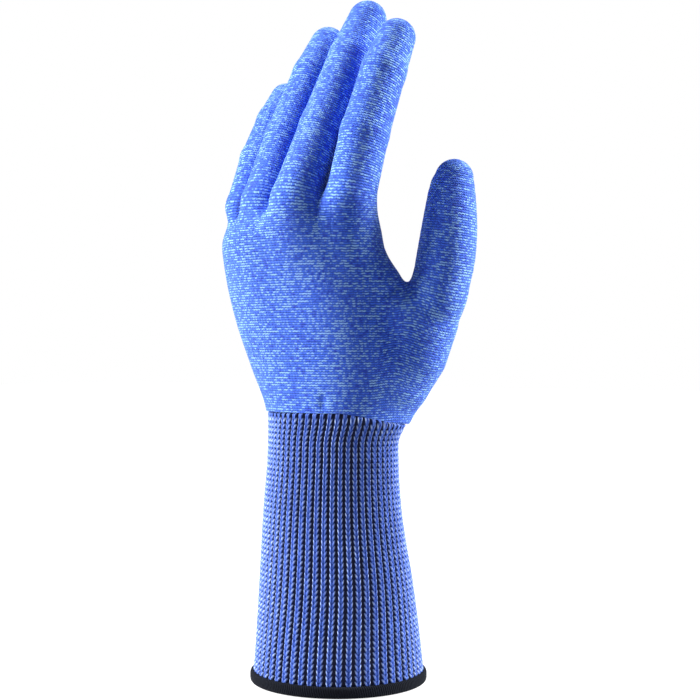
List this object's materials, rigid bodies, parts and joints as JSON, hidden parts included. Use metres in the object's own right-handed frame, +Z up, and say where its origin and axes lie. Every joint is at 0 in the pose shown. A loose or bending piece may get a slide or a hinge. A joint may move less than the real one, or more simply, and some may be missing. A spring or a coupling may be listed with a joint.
{
  "type": "cut resistant glove",
  "caption": "Seamless knitted cut resistant glove for a left hand, in worn shape, with bending fingers, thumb and wrist, and a long flared rib cuff with an overlocked hem.",
  "frame": {"origin": "centre of the cuff's mouth, on the hem's lower face", "axes": "+Z up the forearm to the fingertips, +X towards the thumb's side, -Y the back of the hand"},
  "size_m": [0.1117, 0.0736, 0.2866],
  "materials": {
    "jersey_knit": "melange jersey knit, matt",
    "rib_knit": "light blue face wales over dark navy reverse wales, 1 by 1 rib",
    "overlock_thread": "black overlock thread, matt",
    "elastic_thread": "covered elastic thread"
  },
  "bodies": {
    "cuff": {"rib_cuff": "rib_knit", "hem_overlock": "overlock_thread", "cuff_elastic": "elastic_thread"},
    "palm": {"palm_thumb": "jersey_knit", "palm_four_finger": "jersey_knit"},
    "index_proximal": {"index_proximal": "jersey_knit"},
    "index_middle": {"index_middle": "jersey_knit"},
    "index_distal": {"index_distal": "jersey_knit"},
    "middle_proximal": {"middle_proximal": "jersey_knit"},
    "middle_middle": {"middle_middle": "jersey_knit"},
    "middle_distal": {"middle_distal": "jersey_knit"},
    "ring_proximal": {"ring_proximal": "jersey_knit"},
    "ring_middle": {"ring_middle": "jersey_knit"},
    "ring_distal": {"ring_distal": "jersey_knit"},
    "little_proximal": {"little_proximal": "jersey_knit"},
    "little_middle": {"little_middle": "jersey_knit"},
    "little_distal": {"little_distal": "jersey_knit"},
    "thumb_proximal": {"thumb_proximal": "jersey_knit"},
    "thumb_distal": {"thumb_distal": "jersey_knit"}
  },
  "joints": [
    {"name": "wrist_flexion", "type": "hinge", "parent": "cuff", "child": "palm", "pos_m": [-0.0025, -0.0015, 0.112], "axis": [-1, 0, 0], "range_deg": [-40, 40]},
    {"name": "index_knuckle", "type": "hinge", "parent": "palm", "child": "index_proximal", "pos_m": [0.0175, -0.0175, 0.199], "axis": [-0.9936, 0, 0.1132], "range_deg": [-41, 56]},
    {"name": "index_middle_joint", "type": "hinge", "parent": "index_proximal", "child": "index_middle", "pos_m": [0.02055, -0.01178, 0.22573], "axis": [-0.9936, 0, 0.1132], "range_deg": [-10.5, 78.5]},
    {"name": "index_tip_joint", "type": "hinge", "parent": "index_middle", "child": "index_distal", "pos_m": [0.02359, -0.00227, 0.25242], "axis": [-0.9936, 0, 0.1132], "range_deg": [-10, 42]},
    {"name": "middle_knuckle", "type": "hinge", "parent": "palm", "child": "middle_proximal", "pos_m": [-0.0035, -0.026, 0.1995], "axis": [-0.9969, 0, 0.0785], "range_deg": [-56, 41]},
    {"name": "middle_middle_joint", "type": "hinge", "parent": "middle_proximal", "child": "middle_middle", "pos_m": [-0.00109, -0.01034, 0.23014], "axis": [-0.9969, 0, 0.0785], "range_deg": [-3.5, 85.5]},
    {"name": "middle_tip_joint", "type": "hinge", "parent": "middle_middle", "child": "middle_distal", "pos_m": [0.00138, 0.00605, 0.26154], "axis": [-0.9969, 0, 0.0785], "range_deg": [-6.5, 45.5]},
    {"name": "ring_knuckle", "type": "hinge", "parent": "palm", "child": "ring_proximal", "pos_m": [-0.0244, -0.02, 0.1995], "axis": [-0.9986, 0, 0.0523], "range_deg": [-54.5, 42.5]},
    {"name": "ring_middle_joint", "type": "hinge", "parent": "ring_proximal", "child": "ring_middle", "pos_m": [-0.02289, -0.00622, 0.22834], "axis": [-0.9986, 0, 0.0523], "range_deg": [-7, 82]},
    {"name": "ring_tip_joint", "type": "hinge", "parent": "ring_middle", "child": "ring_distal", "pos_m": [-0.02139, 0.01003, 0.25703], "axis": [-0.9986, 0, 0.0523], "range_deg": [-8, 44]},
    {"name": "little_knuckle", "type": "hinge", "parent": "palm", "child": "little_proximal", "pos_m": [-0.0436, -0.009, 0.1995], "axis": [-1, 0, 0], "range_deg": [-51, 46]},
    {"name": "little_middle_joint", "type": "hinge", "parent": "little_proximal", "child": "little_middle", "pos_m": [-0.0436, -0.00038, 0.22082], "axis": [-1, 0, 0], "range_deg": [-11.5, 77.5]},
    {"name": "little_tip_joint", "type": "hinge", "parent": "little_middle", "child": "little_distal", "pos_m": [-0.0436, 0.01027, 0.23892], "axis": [-1, 0, 0], "range_deg": [-10.5, 41.5]},
    {"name": "thumb_root", "type": "hinge", "parent": "palm", "child": "thumb_proximal", "pos_m": [0.043, 0.009, 0.16], "axis": [-0.8744, -0.4649, 0.1392], "range_deg": [-27, 36]},
    {"name": "thumb_tip_joint", "type": "hinge", "parent": "thumb_proximal", "child": "thumb_distal", "pos_m": [0.04704, 0.01, 0.1887], "axis": [-0.8744, -0.4649, 0.1392], "range_deg": [-8, 72]}
  ]
}
